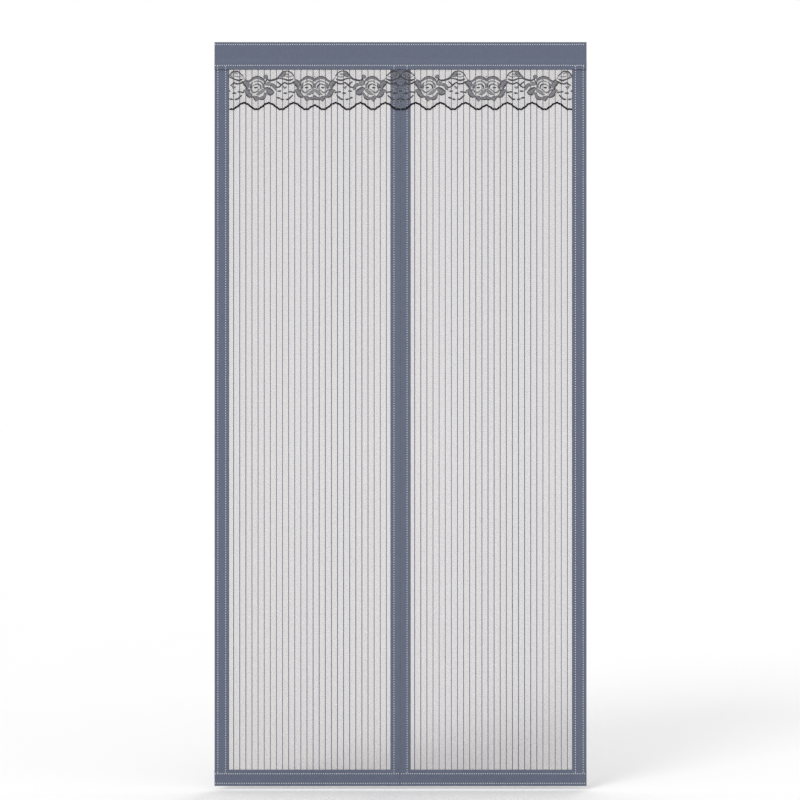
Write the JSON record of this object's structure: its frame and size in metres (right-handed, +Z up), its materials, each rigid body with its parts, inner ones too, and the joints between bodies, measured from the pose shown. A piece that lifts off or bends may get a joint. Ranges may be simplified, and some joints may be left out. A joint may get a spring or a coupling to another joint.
{
  "type": "magnetic insect screen",
  "caption": "Two striped net leaves under one header band, with folded fabric edges, a lace valance, and magnets that close them at the centre.",
  "frame": {"origin": "middle of the header hook tape's back face, which lies on the door frame", "axes": "+Z up, +Y into the door frame that the screen is fixed to, -Y out of the front face, +X to the right as seen from the front"},
  "size_m": [1, 0.0077, 2],
  "materials": {
    "band_fabric": "plain woven polyester, blue grey, matte",
    "net_yarn": "fine polyester net, off-white with blue grey woven stripes",
    "lace_yarn": "grey embroidered lace with a near-black edge cord",
    "seam_thread": "pale polyester sewing thread",
    "loop_tape": "brushed loop pile, blue grey",
    "hook_tape": "moulded hooks on a pale woven tape",
    "magnet": "flexible ferrite magnet, dark grey, satin",
    "weight_steel": "plain steel strip"
  },
  "bodies": {
    "root": {"header_band": "band_fabric", "header_upper_seam": "seam_thread", "header_lower_seam": "seam_thread", "header_loop_tape": "loop_tape", "header_hook_tape": "hook_tape", "left_side_band": "band_fabric", "left_centre_band": "band_fabric", "left_bottom_hem": "band_fabric", "left_net": "net_yarn", "left_lace": "lace_yarn", "left_side_loop_tape": "loop_tape", "left_side_hook_tape": "hook_tape", "left_side_outer_seam": "seam_thread", "left_side_inner_seam": "seam_thread", "left_centre_seam": "seam_thread", "left_hem_upper_seam": "seam_thread", "left_hem_lower_seam": "seam_thread", "left_magnet_01": "magnet", "left_magnet_02": "magnet", "left_magnet_03": "magnet", "left_magnet_04": "magnet", "left_magnet_05": "magnet", "left_magnet_06": "magnet", "left_magnet_07": "magnet", "left_magnet_08": "magnet", "left_magnet_09": "magnet", "left_magnet_10": "magnet", "left_hem_weight": "weight_steel", "right_side_band": "band_fabric", "right_centre_band": "band_fabric", "right_bottom_hem": "band_fabric", "right_net": "net_yarn", "right_lace": "lace_yarn", "right_side_loop_tape": "loop_tape", "right_side_hook_tape": "hook_tape", "right_side_outer_seam": "seam_thread", "right_side_inner_seam": "seam_thread", "right_centre_seam": "seam_thread", "right_hem_upper_seam": "seam_thread", "right_hem_lower_seam": "seam_thread", "right_magnet_01": "magnet", "right_magnet_02": "magnet", "right_magnet_03": "magnet", "right_magnet_04": "magnet", "right_magnet_05": "magnet", "right_magnet_06": "magnet", "right_magnet_07": "magnet", "right_magnet_08": "magnet", "right_magnet_09": "magnet", "right_magnet_10": "magnet", "right_hem_weight": "weight_steel"}
  },
  "joints": []
}
